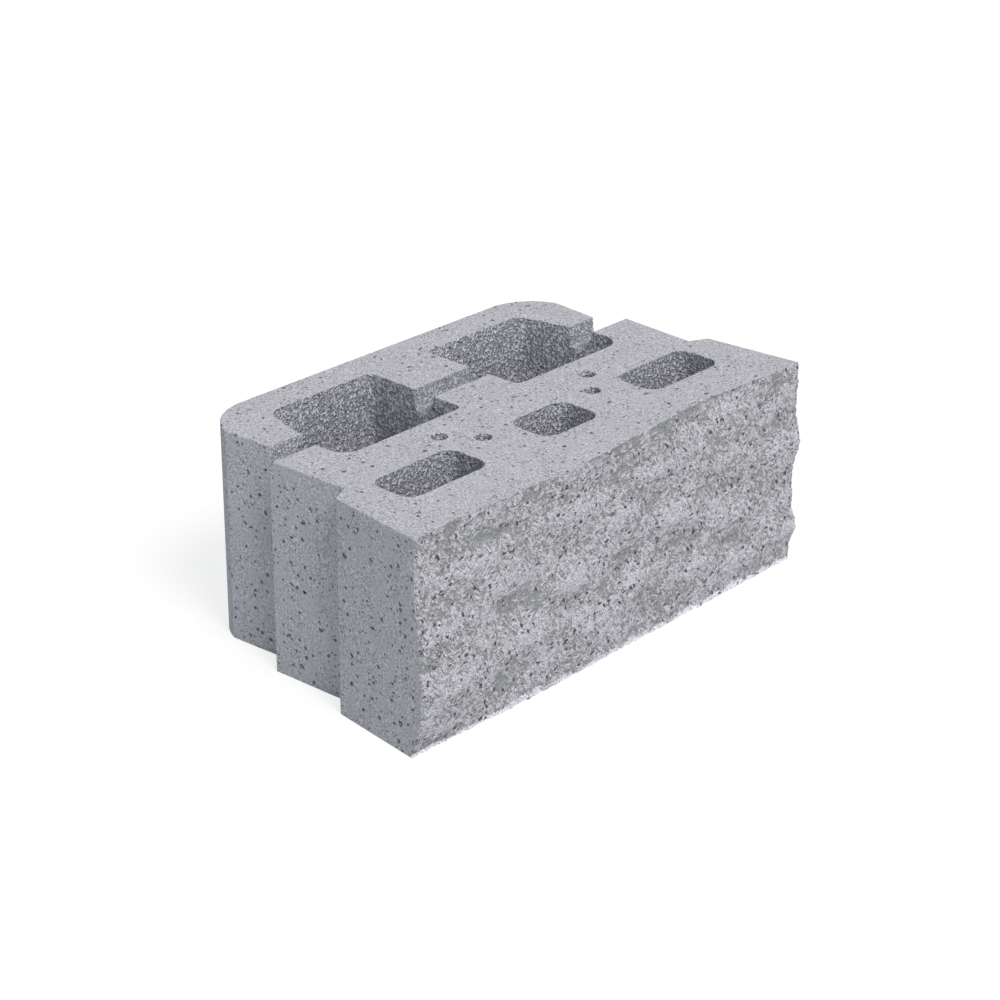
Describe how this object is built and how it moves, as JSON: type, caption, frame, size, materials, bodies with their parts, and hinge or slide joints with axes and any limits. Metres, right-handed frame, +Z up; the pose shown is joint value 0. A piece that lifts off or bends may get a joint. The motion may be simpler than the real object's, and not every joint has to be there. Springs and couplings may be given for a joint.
{
  "type": "retaining wall block",
  "caption": "Concrete retaining wall block with a split rock face, tapered head, through cores, pin holes in its top and a locating channel across it.",
  "frame": {"origin": "middle of the base, at the centre of the block's length and depth", "axes": "+X along the split face, -Y out of the split face, +Z up from the base"},
  "size_m": [0.5056, 0.309, 0.2],
  "materials": {
    "concrete": "dry-cast grey concrete, fine open grain on the moulded faces, rough break on the split face"
  },
  "bodies": {
    "root": {"wall_block": "concrete"}
  },
  "joints": []
}
